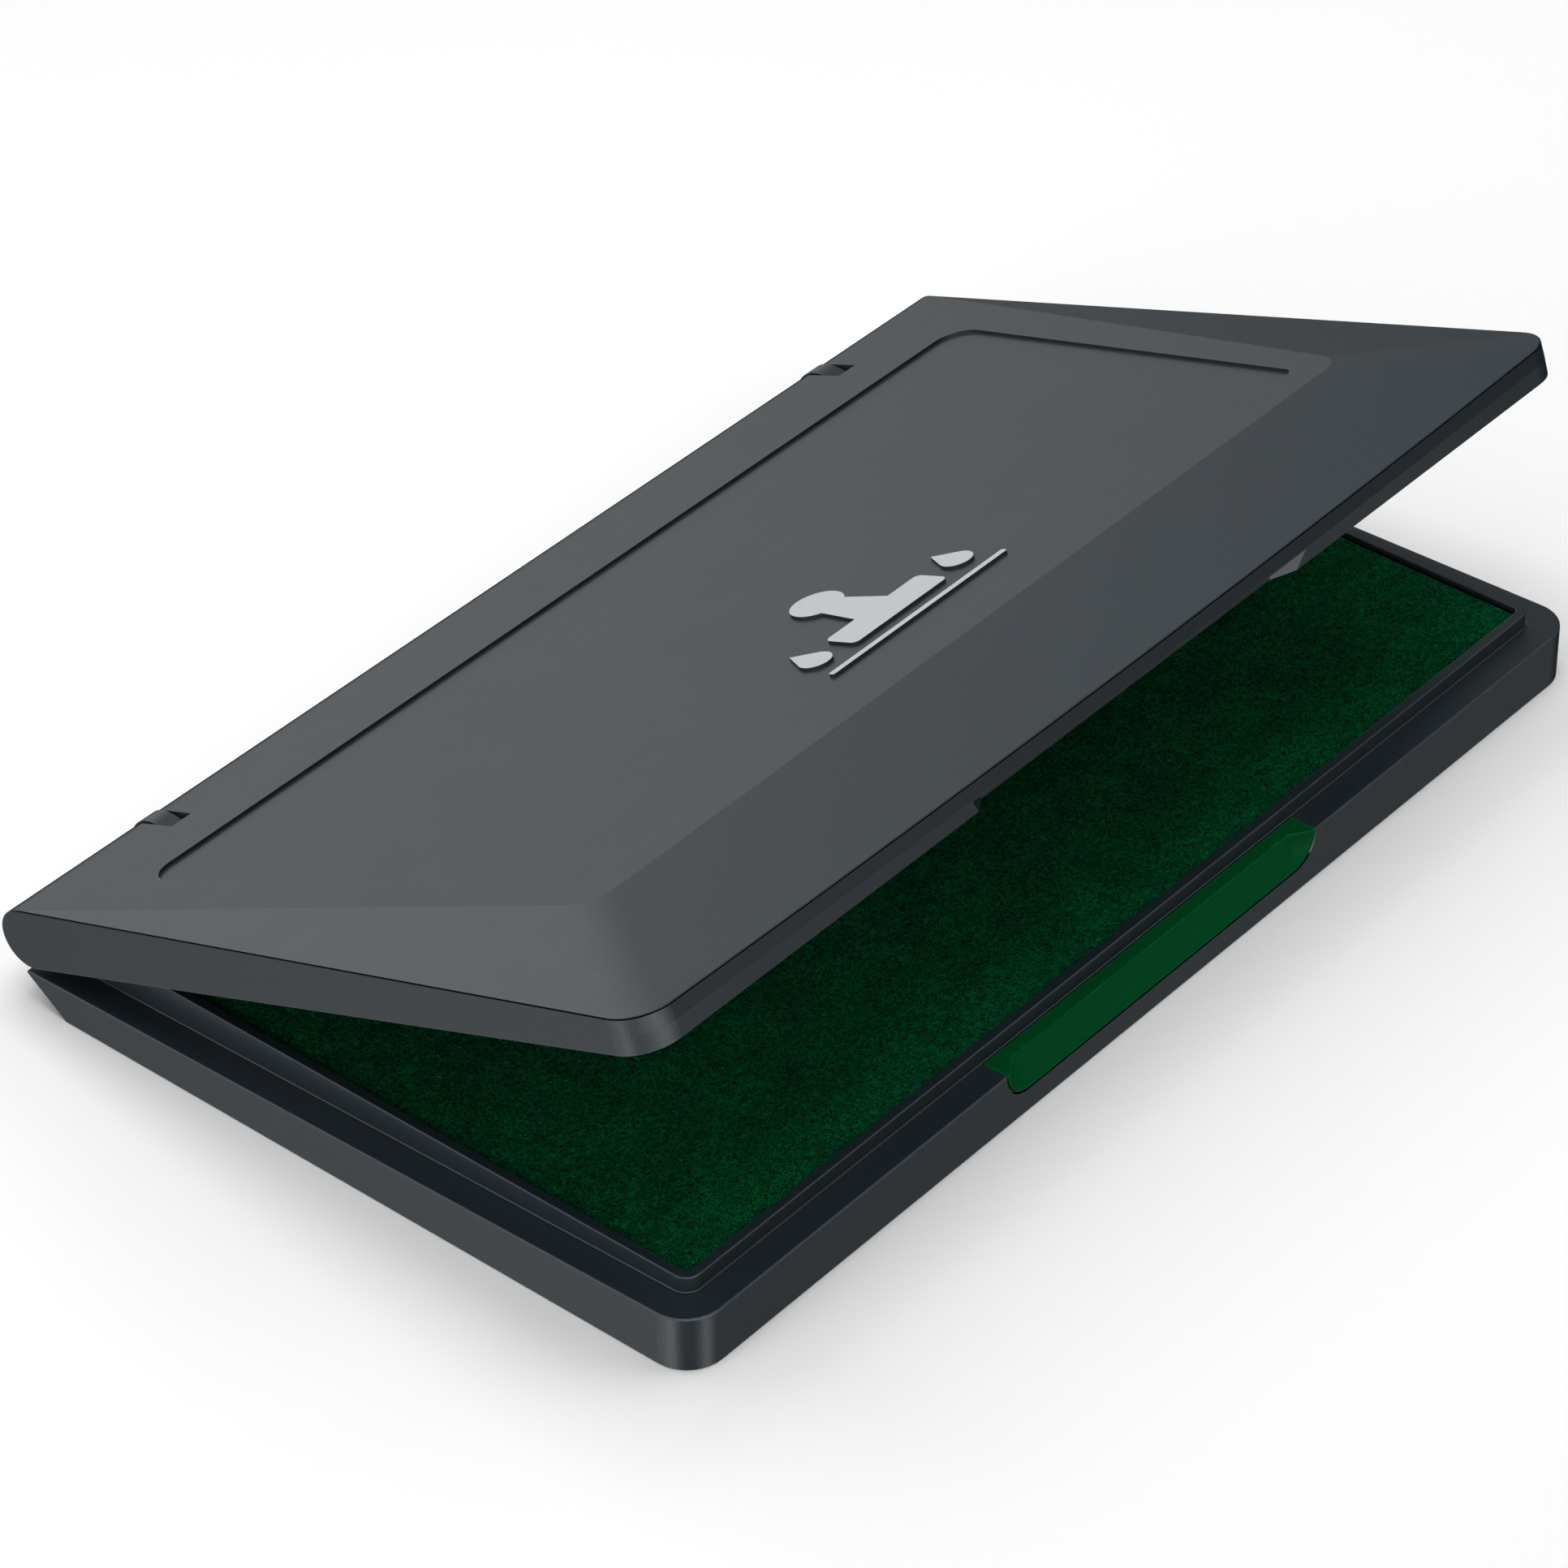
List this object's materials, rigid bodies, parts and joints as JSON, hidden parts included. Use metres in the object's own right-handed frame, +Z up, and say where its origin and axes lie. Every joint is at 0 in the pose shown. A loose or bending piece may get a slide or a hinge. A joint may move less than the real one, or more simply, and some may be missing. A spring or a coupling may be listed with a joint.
{
  "type": "ink pad",
  "caption": "Flat desk ink pad with a hinged bevelled lid, a raised tray of inked felt and a coloured finger grip in the front rim.",
  "frame": {"origin": "middle of the case's width and rim depth, on the flat underside", "axes": "+X along the front edge to the right, +Y from the front to the hinge, +Z up"},
  "size_m": [0.1688, 0.1059, 0.0474],
  "materials": {
    "case_plastic": "satin",
    "tray_plastic": "satin",
    "backing_sheet": "matt",
    "core_felt": "soaked felt",
    "cover_felt": "fine felt",
    "grip_plastic": "satin",
    "lid_plastic": "satin",
    "liner_plastic": "satin",
    "emblem_plastic": "satin",
    "pin_steel": "drawn wire"
  },
  "bodies": {
    "case": {"base_shell": "case_plastic", "pad_tray": "tray_plastic", "pad_backing": "backing_sheet", "ink_core": "core_felt", "pad_cover": "cover_felt", "grip_insert": "grip_plastic"},
    "lid": {"lid_shell": "lid_plastic", "lid_liner": "liner_plastic", "lid_emblem": "emblem_plastic", "hinge_pin_left": "pin_steel", "hinge_pin_right": "pin_steel"}
  },
  "joints": [
    {"name": "lid_hinge", "type": "hinge", "parent": "case", "child": "lid", "pos_m": [0, 0.05042, 0.00947], "axis": [-1, 0, 0], "range_deg": [-20.1, 159.9]}
  ]
}
